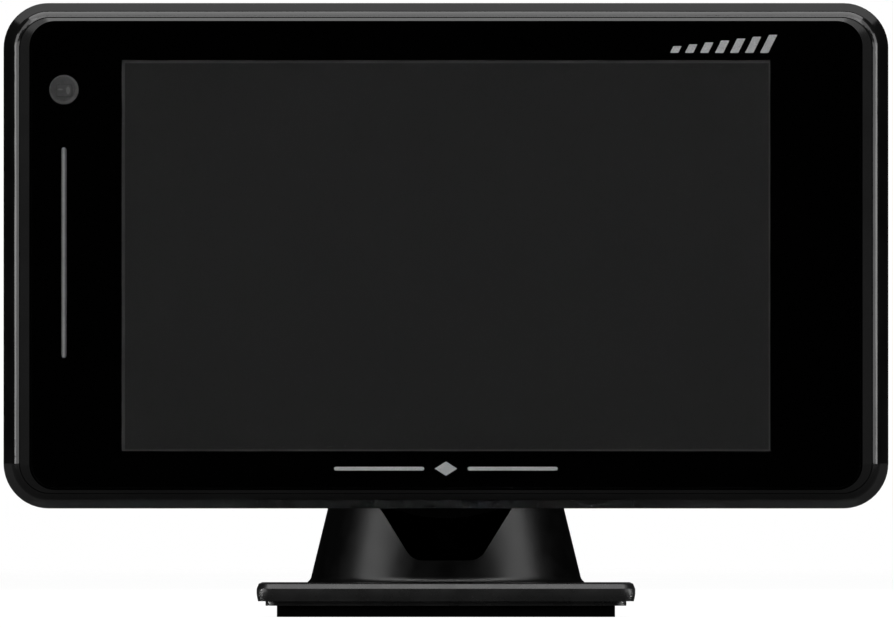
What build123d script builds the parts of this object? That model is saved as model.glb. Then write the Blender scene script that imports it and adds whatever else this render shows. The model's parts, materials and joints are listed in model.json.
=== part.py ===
"""Dash-mounted radar and laser detector: a display head held by a ball joint in a cone-shaped stand.

Millimetres. +Z is up, the screen faces -Y and +X is on the viewer's right. The origin is on the stuck-down
face of the stand, straight below the centre of the ball. Depths in the head are measured from its front face.
"""

import os
from math import atan, cos, degrees, sin, sqrt

from build123d import *

os.makedirs("parts", exist_ok=True)

# ---------------------------------------------------------------- driving dimensions

# Head: overall outline, and where it hangs
HEAD_W = 118.0
HEAD_H = 67.4
HEAD_DEPTH = 26.0
HEAD_BOTTOM_Z = 14.5
HEAD_BACK_Y = -18.8
HEAD_FRONT_Y = HEAD_BACK_Y - HEAD_DEPTH
HEAD_MID_Z = HEAD_BOTTOM_Z + HEAD_H / 2
BEZEL_DEPTH = 10.0
WALL = 1.8

# Front: sizes of what shows through the lens
LENS_NEAR = 0.06
LENS_FAR = 1.26
PRINT_NEAR = LENS_FAR + 0.03
PRINT_FAR = PRINT_NEAR + 0.15
TAPE_FAR = PRINT_FAR + 0.15
SCREEN_W = 86.4
SCREEN_H = 52.1
LEFT_STRIP_X = -50.9
SENSOR_Z = 22.1
SENSOR_R = 1.97
LIGHT_BAR_Z = 0.4
LIGHT_BAR_W = 0.75
LIGHT_BAR_LEN = 28.0

# Stand: foot plate, cone and ball
PAD_T = 1.5
FOOT_W = 50.6
FOOT_FRONT_Y = -37.0
FOOT_BACK_Y = 21.0
FOOT_TOP_Z = 4.5
FOOT_CORNER_R = 2.0
BALL_Z = 20.0
BALL_R = 9.0
BALL_GAP = 0.05
CONE_SLOPE = 0.245  # radius lost for each millimetre of height
CONE_R_AT_0 = 19.47  # radius of the cone's side, carried down to the origin's height
CONE_LIP_R = 18.65
CONE_WALL = 1.8
SLOT_FLOOR_Z = 7.5
NECK_R = 4.0
STUD_R = 2.5

# Shoe on the arm, and the rail in the head's back that it slides into
SHOE_WIDE = 23.6
SHOE_NARROW = 19.6
SHOE_LAYER = 1.8
SHOE_BOTTOM_Z = 13.2
SHOE_END_R = 19.6
SHOE_TOP_Z = 44.0
SHOE_BACK_Y = HEAD_BACK_Y + 0.2

# Boards and the sockets on the head's right-hand side
BOARD_NEAR = 9.0
BOARD_T = 1.2
BOARD_FAR = BOARD_NEAR + BOARD_T
BOARD_W = 94.0
BOARD_H = 50.0
SIDE_X = HEAD_W / 2
CARD_DEPTH = 11.65
CARD_Z = -4.5
CARD_LEN = 15.0
CARD_RECESS = 0.1
CARD_H = 11.0
CARD_T = 0.7
JACK_DEPTH = 14.3
JACK_Z = -16.8
JACK_R = 2.9
SWITCH_DEPTH = 13.6
SWITCH_Z = 10.0
SWITCH_TRAVEL = 2.0
CORNER_SCREWS = (105.2, 56.8)
BOARD_SCREWS = (82.0, 40.0)

# Things behind the back wall, placed from the head's centre as the viewer sees it
SPEAKER_AT = (29.5, -1.0)
SPEAKER_R = 12.5
RADAR_AT = (-29.0, 0.0)
LASER_AT = (0.0, 14.5)
VENTS_AT = (-29.5, 17.0)
VENT_COUNT = 6
VENT_PITCH = 4.6
VENT_LEN = 7.5
VENT_W = 1.4


def head_plane(depth, x=0.0, z=0.0):
    """A plane across the head at that depth, seen from the front, with its origin at the head's centre."""
    return Plane(
        origin=(x, HEAD_FRONT_Y + depth, HEAD_MID_Z + z), x_dir=(1, 0, 0), z_dir=(0, -1, 0)
    )


def side_plane(x, depth, z):
    """A plane square to X in the head. Its own x runs back into the depth, and its y runs up."""
    return Plane(
        origin=(x, HEAD_FRONT_Y + depth, HEAD_MID_Z + z), x_dir=(0, 1, 0), z_dir=(1, 0, 0)
    )


def slab(width, height, near, far, x=0.0, z=0.0, corner=0.4):
    """A rounded block in the head, from depth near to depth far."""
    with BuildPart() as block:
        with BuildSketch(head_plane(far, x, z)):
            RectangleRounded(width, height, corner)
        extrude(amount=far - near)
    return block


def disc(radius, near, far, x=0.0, z=0.0):
    """A round block in the head, from depth near to depth far."""
    with BuildPart() as block:
        with BuildSketch(head_plane(far, x, z)):
            Circle(radius)
        extrude(amount=far - near)
    return block


def skin(sections, extra=0.0):
    """A solid through rounded outlines of the head: (depth, inset at the sides, inset at top and bottom, corner)."""
    with BuildPart() as solid:
        for depth, inset_x, inset_z, corner in sections:
            with BuildSketch(head_plane(depth)):
                RectangleRounded(
                    HEAD_W - 2 * (inset_x + extra),
                    HEAD_H - 2 * (inset_z + extra),
                    max(corner - extra, 0.8),
                )
        loft(ruled=True)
    return solid


# ---------------------------------------------------------------- front of the head

RIM_SECTIONS = (
    (BEZEL_DEPTH, 0.0, 0.0, 6.0),
    (4.0, 0.0, 0.0, 6.0),
    (0.4, 1.43, 1.3, 4.7),
    (0.0, 3.5, 2.45, 3.5),
)
RIM_ROUNDS = ((4.0, 2.0), (0.4, 1.4))
GROOVE_NEAR_EDGE = (2.12, 1.92)  # inset at the sides, and at top and bottom
GROOVE_W = 0.13
GROOVE_FLOOR = 0.45
LENS_W = HEAD_W - 2 * 3.55
LENS_H = HEAD_H - 2 * 2.5
LENS_CORNER = 3.4
LENS_FIT = 0.05
LEDGE = 2.0
LEDGE_FAR = TAPE_FAR + 1.2
BOSS_R = 3.2
PILOT_R = 0.9

rim_solid = skin(RIM_SECTIONS)

with BuildPart() as front_bezel:
    add(rim_solid.part)
    for ridge_depth, ridge_round in RIM_ROUNDS:
        ridge_y = HEAD_FRONT_Y + ridge_depth
        ridge = front_bezel.edges().filter_by_position(Axis.Y, ridge_y - 0.01, ridge_y + 0.01)
        fillet(ridge, radius=ridge_round)
    # fine groove between the rounded rim and the flat ledge inside it
    with BuildSketch(head_plane(GROOVE_FLOOR)):
        RectangleRounded(HEAD_W - 2 * GROOVE_NEAR_EDGE[0], HEAD_H - 2 * GROOVE_NEAR_EDGE[1], 4.2)
        RectangleRounded(
            HEAD_W - 2 * (GROOVE_NEAR_EDGE[0] + GROOVE_W),
            HEAD_H - 2 * (GROOVE_NEAR_EDGE[1] + GROOVE_W),
            4.2 - GROOVE_W,
            mode=Mode.SUBTRACT,
        )
    extrude(amount=GROOVE_FLOOR, mode=Mode.SUBTRACT)
    with BuildSketch(head_plane(TAPE_FAR)):
        RectangleRounded(LENS_W + 2 * LENS_FIT, LENS_H + 2 * LENS_FIT, LENS_CORNER + LENS_FIT)
    extrude(amount=TAPE_FAR, mode=Mode.SUBTRACT)
    with BuildSketch(head_plane(LEDGE_FAR)):
        RectangleRounded(LENS_W - 2 * LEDGE, LENS_H - 2 * LEDGE, 1.5)
    extrude(amount=LEDGE_FAR, mode=Mode.SUBTRACT)
    with BuildSketch(head_plane(BEZEL_DEPTH)):
        RectangleRounded(HEAD_W - 2 * WALL, HEAD_H - 2 * WALL, 6.0 - WALL)
    extrude(amount=BEZEL_DEPTH - LEDGE_FAR, mode=Mode.SUBTRACT)
    with BuildSketch(head_plane(BEZEL_DEPTH)):
        with GridLocations(*CORNER_SCREWS, 2, 2):
            Circle(BOSS_R)
    extrude(amount=BEZEL_DEPTH - LEDGE_FAR)
    with BuildSketch(head_plane(BEZEL_DEPTH)):
        with GridLocations(*CORNER_SCREWS, 2, 2):
            Circle(PILOT_R)
    extrude(amount=6.0, mode=Mode.SUBTRACT)

with BuildPart() as cover_lens:
    with BuildSketch(head_plane(LENS_FAR)):
        RectangleRounded(LENS_W, LENS_H, LENS_CORNER)
    extrude(amount=LENS_FAR - LENS_NEAR)
    fillet(cover_lens.faces().sort_by(Axis.Y)[0].edges(), radius=0.1)

# Generic printed marks: a rising row of slanted bars, and a line with a lozenge in its middle
BARS_AT = (36.4, 28.2)
BAR_PITCH = 2.0
BAR_COUNT = 7
BAR_W = 1.1
BAR_LEAN = 0.5
LINE_Z = -28.4
LINE_LEN = 12.0
LINE_T = 0.5
LOZENGE_W = 3.0
LOZENGE_H = 1.9


def bar_outline(index):
    """Corners of one slanted bar of the rising row."""
    height = 0.9 + 1.5 * index / (BAR_COUNT - 1)
    left = BARS_AT[0] + (index - (BAR_COUNT - 1) / 2) * BAR_PITCH - BAR_W / 2
    foot = BARS_AT[1] - 1.2
    lean = BAR_LEAN * height
    return [
        (left, foot),
        (left + BAR_W, foot),
        (left + BAR_W + lean, foot + height),
        (left + lean, foot + height),
    ]


with BuildPart() as silver_marks:
    with BuildSketch(head_plane(PRINT_FAR)):
        for bar_index in range(BAR_COUNT):
            Polygon(*bar_outline(bar_index))
        for side in (-1, 1):
            with Locations((side * (LOZENGE_W / 2 + 1.4 + LINE_LEN / 2), LINE_Z)):
                SlotOverall(LINE_LEN, LINE_T)
        with Locations((0, LINE_Z)):
            Polygon(
                (-LOZENGE_W / 2, 0), (0, -LOZENGE_H / 2), (LOZENGE_W / 2, 0), (0, LOZENGE_H / 2)
            )
    extrude(amount=PRINT_FAR - PRINT_NEAR)

with BuildPart() as border_print:
    with BuildSketch(head_plane(PRINT_FAR)):
        RectangleRounded(LENS_W - 0.6, LENS_H - 0.6, LENS_CORNER - 0.3)
        Rectangle(SCREEN_W, SCREEN_H, mode=Mode.SUBTRACT)
        with Locations((LEFT_STRIP_X, SENSOR_Z)):
            Circle(SENSOR_R, mode=Mode.SUBTRACT)
        with Locations((LEFT_STRIP_X, LIGHT_BAR_Z)):
            SlotOverall(LIGHT_BAR_LEN, LIGHT_BAR_W, rotation=90, mode=Mode.SUBTRACT)
    extrude(amount=PRINT_FAR - PRINT_NEAR)
    add(silver_marks.part, mode=Mode.SUBTRACT)

with BuildPart() as lens_tape:
    with BuildSketch(head_plane(TAPE_FAR)):
        RectangleRounded(LENS_W - 0.6, LENS_H - 0.6, LENS_CORNER - 0.3)
        RectangleRounded(LENS_W - 2 * LEDGE + 0.4, LENS_H - 2 * LEDGE + 0.4, 1.5, mode=Mode.SUBTRACT)
    extrude(amount=TAPE_FAR - PRINT_FAR)

# ---------------------------------------------------------------- display

LCD_W = 96.8
LCD_H = 57.2
LCD_NEAR = PRINT_FAR + 0.05
LCD_GLASS_T = 1.4
BACKLIGHT_T = 1.7
TRAY_T = 0.3
TRAY_FAR = LCD_NEAR + LCD_GLASS_T + BACKLIGHT_T + TRAY_T
RIBBON_W = 24.0
RIBBON_T = 0.3

lcd_panel = slab(LCD_W, LCD_H, LCD_NEAR, LCD_NEAR + LCD_GLASS_T, corner=0.5)
backlight = slab(
    LCD_W, LCD_H, LCD_NEAR + LCD_GLASS_T, LCD_NEAR + LCD_GLASS_T + BACKLIGHT_T, corner=0.5
)

with BuildPart() as lcd_tray:
    with BuildSketch(head_plane(TRAY_FAR)):
        RectangleRounded(LCD_W + 2 * TRAY_T, LCD_H + 2 * TRAY_T, 0.8)
    extrude(amount=TRAY_FAR - LCD_NEAR - 0.3)
    with BuildSketch(head_plane(TRAY_FAR - TRAY_T)):
        RectangleRounded(LCD_W, LCD_H, 0.5)
    extrude(amount=TRAY_FAR, mode=Mode.SUBTRACT)

# The ribbon leaves the tray's back near its lower edge and runs straight back to a connector on the board
with BuildPart() as lcd_ribbon:
    with BuildSketch(head_plane(BOARD_NEAR - 1.0, 6.0, -16.0)):
        Rectangle(RIBBON_W, RIBBON_T)
    extrude(amount=BOARD_NEAR - 1.0 - TRAY_FAR)

# ---------------------------------------------------------------- left strip: light sensor and light bar

SMALL_BOARD_NEAR = 6.2
SMALL_BOARD_FAR = 7.0

with BuildPart() as sensor_window:
    with BuildSketch(head_plane(3.2, LEFT_STRIP_X, SENSOR_Z)):
        Circle(SENSOR_R - 0.02)
    extrude(amount=3.2 - PRINT_NEAR)
    with BuildSketch(head_plane(3.2, LEFT_STRIP_X, SENSOR_Z)):
        Circle(SENSOR_R + 0.1)
    extrude(amount=3.2 - TAPE_FAR)

with BuildPart() as light_bar:
    with BuildSketch(head_plane(5.4, LEFT_STRIP_X, LIGHT_BAR_Z)):
        SlotOverall(LIGHT_BAR_LEN - 0.04, LIGHT_BAR_W - 0.04, rotation=90)
    extrude(amount=5.4 - PRINT_NEAR)
    with BuildSketch(head_plane(5.4, LEFT_STRIP_X, LIGHT_BAR_Z)):
        SlotOverall(LIGHT_BAR_LEN + 0.4, 1.6, rotation=90)
    extrude(amount=1.6)

with BuildPart() as status_leds:
    with BuildSketch(head_plane(SMALL_BOARD_NEAR, LEFT_STRIP_X, LIGHT_BAR_Z)):
        with GridLocations(1.0, LIGHT_BAR_LEN / 4, 1, 4):
            Rectangle(0.8, 1.6)
    extrude(amount=0.6)

light_sensor = slab(2.4, 2.4, 4.0, SMALL_BOARD_NEAR, LEFT_STRIP_X, SENSOR_Z, 0.3)
sensor_board = slab(7.6, 40.0, SMALL_BOARD_NEAR, SMALL_BOARD_FAR, -51.6, 4.0, 0.8)

# ---------------------------------------------------------------- main board and what is soldered to it

with BuildPart() as main_board:
    with BuildSketch(head_plane(BOARD_FAR)):
        RectangleRounded(BOARD_W, BOARD_H, 1.5)
        with GridLocations(*BOARD_SCREWS, 2, 2):
            Circle(1.2, mode=Mode.SUBTRACT)
    extrude(amount=BOARD_T)

with BuildPart() as shield_can:
    with BuildSketch(head_plane(BOARD_FAR + 2.4, 2.0, 8.0)):
        RectangleRounded(24.0, 18.0, 1.0)
    extrude(amount=2.4)
    fillet(shield_can.faces().sort_by(Axis.Y)[-1].edges(), radius=0.5)
    with BuildSketch(head_plane(BOARD_FAR + 2.2, 2.0, 8.0)):
        RectangleRounded(23.6, 17.6, 0.8)
    extrude(amount=2.2, mode=Mode.SUBTRACT)

CHIPS = ((2.0, 8.0, 12.0, 12.0, 1.2), (-8.0, -12.0, 9.0, 7.0, 1.0), (8.0, -12.0, 8.0, 6.0, 1.0))

with BuildPart() as board_chips:
    for chip_x, chip_z, chip_w, chip_h, chip_t in CHIPS:
        with BuildSketch(head_plane(BOARD_FAR + chip_t, chip_x, chip_z)):
            Rectangle(chip_w, chip_h)
        extrude(amount=chip_t)

ribbon_socket = slab(RIBBON_W + 3.0, 3.6, BOARD_NEAR - 1.0, BOARD_NEAR, 6.0, -16.0, 0.3)
backup_capacitor = disc(4.0, BOARD_FAR, BOARD_FAR + 7.0, -30.0, -18.0)

SOCKET_X = SIDE_X - CARD_LEN - 1.5

with BuildPart() as card_socket:
    with BuildSketch(head_plane(CARD_DEPTH + 0.9, 0, CARD_Z)):
        with Locations((SOCKET_X, 0)):
            Rectangle(13.0, CARD_H + 2.4, align=(Align.MIN, Align.CENTER))
    extrude(amount=CARD_DEPTH + 0.9 - BOARD_FAR)
    with BuildSketch(head_plane(CARD_DEPTH + CARD_T / 2 + 0.08, 0, CARD_Z)):
        with Locations((SOCKET_X + 0.5, 0)):
            Rectangle(20.0, CARD_H + 0.3, align=(Align.MIN, Align.CENTER))
    extrude(amount=CARD_T + 0.16, mode=Mode.SUBTRACT)

with BuildPart() as memory_card:
    with BuildSketch(head_plane(CARD_DEPTH + CARD_T / 2, 0, CARD_Z)):
        with Locations((SIDE_X - CARD_LEN - CARD_RECESS, 0)):
            RectangleRounded(CARD_LEN, CARD_H, 0.7, align=(Align.MIN, Align.CENTER))
    extrude(amount=CARD_T)

with BuildPart() as power_jack:
    with BuildSketch(side_plane(SIDE_X - 1.6, JACK_DEPTH, JACK_Z)):
        Circle(JACK_R)
    extrude(amount=-5.0)
    with BuildSketch(side_plane(SIDE_X - 5.6, JACK_DEPTH, JACK_Z)):
        Rectangle(2 * (JACK_DEPTH - BOARD_FAR), 8.4)
    extrude(amount=-8.0)
    with BuildSketch(side_plane(SIDE_X - 1.6, JACK_DEPTH, JACK_Z)):
        Circle(JACK_R - 0.8)
    extrude(amount=-10.0, mode=Mode.SUBTRACT)
    with BuildSketch(side_plane(SIDE_X - 11.6, JACK_DEPTH, JACK_Z)):
        Circle(0.65)
    extrude(amount=8.5)

with BuildPart() as power_switch:
    with BuildSketch(head_plane(SWITCH_DEPTH + 2.0, SIDE_X - 5.8, SWITCH_Z)):
        Rectangle(5.0, 9.6)
    extrude(amount=SWITCH_DEPTH + 2.0 - BOARD_FAR)
    with BuildSketch(side_plane(SIDE_X - 3.3, SWITCH_DEPTH, SWITCH_Z)):
        Rectangle(1.9, 3.0 + SWITCH_TRAVEL + 0.4)
    extrude(amount=-1.6, mode=Mode.SUBTRACT)

# At rest the knob stands at the low end of its travel
KNOB_Z = SWITCH_Z - SWITCH_TRAVEL / 2

with BuildPart() as switch_knob:
    with BuildSketch(side_plane(SIDE_X - 4.8, SWITCH_DEPTH, KNOB_Z)):
        Rectangle(1.5, 3.0)
    extrude(amount=4.2)
    with BuildSketch(side_plane(SIDE_X - 1.0, SWITCH_DEPTH, KNOB_Z)):
        for rib in (-0.9, 0.0, 0.9):
            with Locations((0, rib)):
                Rectangle(1.5, 0.4)
    extrude(amount=0.7)

# ---------------------------------------------------------------- receivers and speaker

with BuildPart() as radar_horn:
    with BuildSketch(head_plane(22.5, *RADAR_AT)):
        RectangleRounded(26.0, 22.0, 1.0)
    extrude(amount=22.5 - 12.5)
    with BuildSketch(head_plane(22.5, *RADAR_AT)):
        Rectangle(22.0, 14.0)
    with BuildSketch(head_plane(15.5, *RADAR_AT)):
        Rectangle(9.0, 4.5)
    loft(ruled=True, mode=Mode.SUBTRACT)
    with BuildSketch(head_plane(15.5, *RADAR_AT)):
        Rectangle(9.0, 4.5)
    extrude(amount=1.5, mode=Mode.SUBTRACT)

radar_board = slab(26.0, 22.0, 11.3, 12.5, *RADAR_AT, 1.0)

with BuildPart() as gps_antenna:
    with BuildSketch(head_plane(21.8, 29.5, 17.2)):
        Rectangle(15.0, 4.0)
    extrude(amount=10.5)

with BuildPart() as gps_ground_can:
    with BuildSketch(head_plane(21.8, 29.5, 14.2)):
        Rectangle(15.0, 2.0)
    extrude(amount=10.5)

LASER_WINDOW = (24.0, 11.0)
PANE_NEAR = HEAD_DEPTH - 1.1

with BuildPart() as laser_holder:
    with BuildSketch(head_plane(23.6, *LASER_AT)):
        RectangleRounded(20.0, 9.0, 1.0)
    extrude(amount=23.6 - 15.4)
    with BuildSketch(head_plane(23.6, *LASER_AT)):
        Circle(3.8)
    extrude(amount=23.6 - 15.4, mode=Mode.SUBTRACT)

with BuildPart() as laser_lens:
    with BuildSketch(head_plane(22.4, *LASER_AT)):
        Circle(3.75)
    extrude(amount=1.2)
    with Locations(head_plane(22.4 - 5.6, *LASER_AT).location):
        Sphere(6.8, mode=Mode.ADD)
    lens_slice = slab(20.0, 20.0, 21.2, 30.0, *LASER_AT)
    add(lens_slice.part, mode=Mode.INTERSECT)
    add(disc(3.75, 20.0, 30.0, *LASER_AT).part, mode=Mode.INTERSECT)

laser_sensor = slab(20.0, 9.0, 14.0, 15.4, *LASER_AT, 0.5)
laser_window = slab(*LASER_WINDOW, PANE_NEAR, PANE_NEAR + 1.0, *LASER_AT, 4.0)

with BuildPart() as speaker:
    with BuildSketch(head_plane(23.4, *SPEAKER_AT)):
        Circle(SPEAKER_R)
    extrude(amount=1.4)
    with BuildSketch(head_plane(22.0, *SPEAKER_AT)):
        Circle(SPEAKER_R - 0.4)
    with BuildSketch(head_plane(18.6, *SPEAKER_AT)):
        Circle(7.5)
    loft(ruled=True)
    with BuildSketch(head_plane(18.6, *SPEAKER_AT)):
        Circle(7.0)
    extrude(amount=3.4)
    with BuildSketch(head_plane(23.4, *SPEAKER_AT)):
        Circle(SPEAKER_R - 1.2)
    with BuildSketch(head_plane(20.0, *SPEAKER_AT)):
        Circle(4.0)
    loft(ruled=True, mode=Mode.SUBTRACT)

with BuildPart() as speaker_cone:
    with BuildSketch(head_plane(23.0, *SPEAKER_AT)):
        Circle(SPEAKER_R - 2.2)
    with BuildSketch(head_plane(20.4, *SPEAKER_AT)):
        Circle(4.2)
    loft(ruled=True)
    with BuildSketch(head_plane(23.0, *SPEAKER_AT)):
        Circle(SPEAKER_R - 2.8)
    with BuildSketch(head_plane(20.8, *SPEAKER_AT)):
        Circle(3.6)
    loft(ruled=True, mode=Mode.SUBTRACT)
    with BuildSketch(head_plane(21.0, *SPEAKER_AT)):
        Circle(3.6)
    extrude(amount=0.4)

with BuildPart() as speaker_gasket:
    with BuildSketch(head_plane(23.9, *SPEAKER_AT)):
        Circle(SPEAKER_R)
        Circle(SPEAKER_R - 1.6, mode=Mode.SUBTRACT)
    extrude(amount=0.5)

# ---------------------------------------------------------------- back of the head

COVER_SECTIONS = (
    (BEZEL_DEPTH, 0.3, 0.3, 5.8),
    (16.8, 1.0, 1.0, 6.0),
    (23.2, 7.4, 5.6, 8.5),
    (HEAD_DEPTH, 12.0, 9.2, 9.5),
)
COVER_ROUNDS = ((16.8, 5.0), (23.2, 2.5))
CAVITY_SECTIONS = (
    (BEZEL_DEPTH, 0.3, 0.3, 5.8),
    (16.4, 1.0, 1.0, 6.0),
    (22.2, 7.0, 5.3, 8.5),
    (HEAD_DEPTH - WALL, 9.8, 7.6, 9.0),
)
RAIL_FIT = 0.2
RAIL_BLOCK_W = 29.0
RAIL_BLOCK_NEAR = 20.8
RAIL_TOP_Z = SHOE_TOP_Z + 0.15
WELL_R = 2.6
WELL_FLOOR = 13.0
SCREW_HOLE_R = 1.3

cover_outer = skin(COVER_SECTIONS)
cover_cavity = skin(CAVITY_SECTIONS, WALL)

with BuildPart() as cover_body:
    add(cover_outer.part)
    for round_depth, round_radius in COVER_ROUNDS:
        round_y = HEAD_FRONT_Y + round_depth
        edge_ring = cover_body.edges().filter_by_position(Axis.Y, round_y - 0.01, round_y + 0.01)
        fillet(edge_ring, radius=round_radius)
    fillet(cover_body.faces().sort_by(Axis.Y)[-1].edges(), radius=1.2)

# Solid lumps inside the shell: the rail block, the screw posts and the seats for the sockets and window
with BuildPart() as cover_lumps:
    rail_block_h = RAIL_TOP_Z + 2.0 - HEAD_BOTTOM_Z
    rail_mid = HEAD_BOTTOM_Z + rail_block_h / 2 - HEAD_MID_Z
    with BuildSketch(head_plane(HEAD_DEPTH, 0, rail_mid)):
        Rectangle(RAIL_BLOCK_W, rail_block_h)
    extrude(amount=HEAD_DEPTH - RAIL_BLOCK_NEAR)
    with BuildSketch(head_plane(HEAD_DEPTH)):
        with GridLocations(*CORNER_SCREWS, 2, 2):
            Circle(4.2)
    extrude(amount=HEAD_DEPTH - BEZEL_DEPTH)
    with BuildSketch(head_plane(HEAD_DEPTH)):
        with GridLocations(*BOARD_SCREWS, 2, 2):
            Circle(2.3)
    extrude(amount=HEAD_DEPTH - BOARD_FAR)
    add(cover_body.part, mode=Mode.INTERSECT)

with BuildPart() as rear_cover:
    add(cover_body.part)
    add(cover_cavity.part, mode=Mode.SUBTRACT)
    add(cover_lumps.part)
    # corner screw wells, open at the back, and the holes through their floors
    with BuildSketch(head_plane(HEAD_DEPTH)):
        with GridLocations(*CORNER_SCREWS, 2, 2):
            Circle(WELL_R)
    extrude(amount=HEAD_DEPTH - WELL_FLOOR, mode=Mode.SUBTRACT)
    with BuildSketch(head_plane(WELL_FLOOR)):
        with GridLocations(*CORNER_SCREWS, 2, 2):
            Circle(SCREW_HOLE_R)
    extrude(amount=WELL_FLOOR, mode=Mode.SUBTRACT)
    # pilot holes for the board's screws
    with BuildSketch(head_plane(BOARD_FAR + 6.0)):
        with GridLocations(*BOARD_SCREWS, 2, 2):
            Circle(PILOT_R)
    extrude(amount=6.0, mode=Mode.SUBTRACT)
    # rail: a wide pocket behind two lips, open at the bottom
    rail_cut_h = RAIL_TOP_Z - HEAD_BOTTOM_Z + 2.0
    rail_cut_mid = RAIL_TOP_Z - rail_cut_h / 2 - HEAD_MID_Z
    wide_near = SHOE_BACK_Y - 2 * SHOE_LAYER - RAIL_FIT - HEAD_FRONT_Y
    lip_near = SHOE_BACK_Y - SHOE_LAYER + 0.1 - HEAD_FRONT_Y
    with BuildSketch(head_plane(lip_near, 0, rail_cut_mid)):
        Rectangle(SHOE_WIDE + 2 * RAIL_FIT, rail_cut_h)
    extrude(amount=lip_near - wide_near, mode=Mode.SUBTRACT)
    with BuildSketch(head_plane(HEAD_DEPTH + 1.0, 0, rail_cut_mid)):
        Rectangle(SHOE_NARROW + 2 * RAIL_FIT, rail_cut_h)
    extrude(amount=HEAD_DEPTH + 1.0 - wide_near, mode=Mode.SUBTRACT)
    # window for the laser receiver, with a step that its pane sits on
    with BuildSketch(head_plane(HEAD_DEPTH + 0.5, *LASER_AT)):
        RectangleRounded(LASER_WINDOW[0] + 0.1, LASER_WINDOW[1] + 0.1, 4.05)
    extrude(amount=HEAD_DEPTH + 0.5 - PANE_NEAR, mode=Mode.SUBTRACT)
    with BuildSketch(head_plane(HEAD_DEPTH, *LASER_AT)):
        RectangleRounded(LASER_WINDOW[0] - 2.0, LASER_WINDOW[1] - 2.0, 3.0)
    extrude(amount=3.0, mode=Mode.SUBTRACT)
    # speaker grille: rings of round holes about one in the middle
    with BuildSketch(head_plane(HEAD_DEPTH + 0.5, *SPEAKER_AT)):
        Circle(0.7)
        for ring, hole_count in ((2.7, 6), (5.4, 12), (8.1, 18)):
            with PolarLocations(ring, hole_count):
                Circle(0.7)
    extrude(amount=3.0, mode=Mode.SUBTRACT)
    # slanted vents over the radar receiver
    with BuildSketch(head_plane(HEAD_DEPTH + 0.5, *VENTS_AT)):
        with GridLocations(VENT_PITCH, 0, VENT_COUNT, 1):
            SlotOverall(VENT_LEN, VENT_W, rotation=60)
    extrude(amount=3.0, mode=Mode.SUBTRACT)
    # side openings for the card, the switch knob and the power plug
    with BuildSketch(side_plane(SIDE_X + 1, CARD_DEPTH, CARD_Z)):
        Rectangle(CARD_T + 0.4, CARD_H + 0.4)
    extrude(amount=-8.0, mode=Mode.SUBTRACT)
    with BuildSketch(side_plane(SIDE_X + 1, SWITCH_DEPTH, SWITCH_Z)):
        Rectangle(1.9, 3.0 + SWITCH_TRAVEL + 0.4)
    extrude(amount=-8.0, mode=Mode.SUBTRACT)
    with BuildSketch(side_plane(SIDE_X + 1, JACK_DEPTH, JACK_Z)):
        Circle(JACK_R + 0.1)
    extrude(amount=-8.0, mode=Mode.SUBTRACT)
    # shallow bed for the label
    with BuildSketch(head_plane(HEAD_DEPTH, -29.5, 0)):
        RectangleRounded(28.0, 18.0, 1.0)
    extrude(amount=0.2, mode=Mode.SUBTRACT)

label_plate = slab(27.6, 17.6, HEAD_DEPTH - 0.2, HEAD_DEPTH - 0.05, -29.5, 0.0, 0.9)


def head_screw(shank_r, head_r, head_depth, head_t, tip_depth, spacing, drive_r):
    """Four pan-head screws on a rectangle, with a round recess in each head. head_depth is the bearing face."""
    with BuildPart() as screws:
        with BuildSketch(head_plane(head_depth)):
            with GridLocations(*spacing, 2, 2):
                Circle(shank_r)
        extrude(amount=head_depth - tip_depth)
        with BuildSketch(head_plane(head_depth)):
            with GridLocations(*spacing, 2, 2):
                Circle(head_r)
        extrude(amount=-head_t)
        fillet(screws.faces().sort_by(Axis.Y).group_by(Axis.Y)[-1].edges(), radius=0.4 * head_t)
        with BuildSketch(head_plane(head_depth + head_t)):
            with GridLocations(*spacing, 2, 2):
                Rectangle(2 * drive_r, 0.35)
                Rectangle(0.35, 2 * drive_r)
        extrude(amount=0.6 * head_t, mode=Mode.SUBTRACT)
    return screws


corner_screws = head_screw(PILOT_R - 0.02, 2.0, WELL_FLOOR, 1.5, 5.0, CORNER_SCREWS, 1.1)

with BuildPart() as board_screws:
    with BuildSketch(head_plane(BOARD_NEAR)):
        with GridLocations(*BOARD_SCREWS, 2, 2):
            Circle(1.7)
    extrude(amount=1.0)
    with BuildSketch(head_plane(BOARD_FAR + 4.0)):
        with GridLocations(*BOARD_SCREWS, 2, 2):
            Circle(PILOT_R - 0.02)
    extrude(amount=BOARD_T + 4.0)

# ---------------------------------------------------------------- stand: pad, foot plate and cone

FOOT_D = FOOT_BACK_Y - FOOT_FRONT_Y
FOOT_MID_Y = (FOOT_BACK_Y + FOOT_FRONT_Y) / 2
FOOT_SKIRT_Z = 2.1
FOOT_WAIST_Z = 3.0
FOOT_BEVEL_Z = 3.78
# Height and inset of the foot's edge: slightly convex, then bevelled all round its top
FOOT_SKIRT = ((FOOT_SKIRT_Z, 0.2), (FOOT_WAIST_Z, 0.0), (FOOT_BEVEL_Z, 0.02), (FOOT_TOP_Z, 0.32))
FOOT_TIER_INSET = 1.2
PAD_INSET = 2.7
POST_AT = (10.65, 6.15)
POST_TOP_Z = 12.0
GUIDE_R = 2.1

with BuildPart() as adhesive_pad:
    with BuildSketch(Plane.XY):
        with Locations((0, FOOT_MID_Y)):
            RectangleRounded(FOOT_W - 2 * PAD_INSET, FOOT_D - 2 * PAD_INSET, FOOT_CORNER_R)
    extrude(amount=PAD_T)

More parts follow.
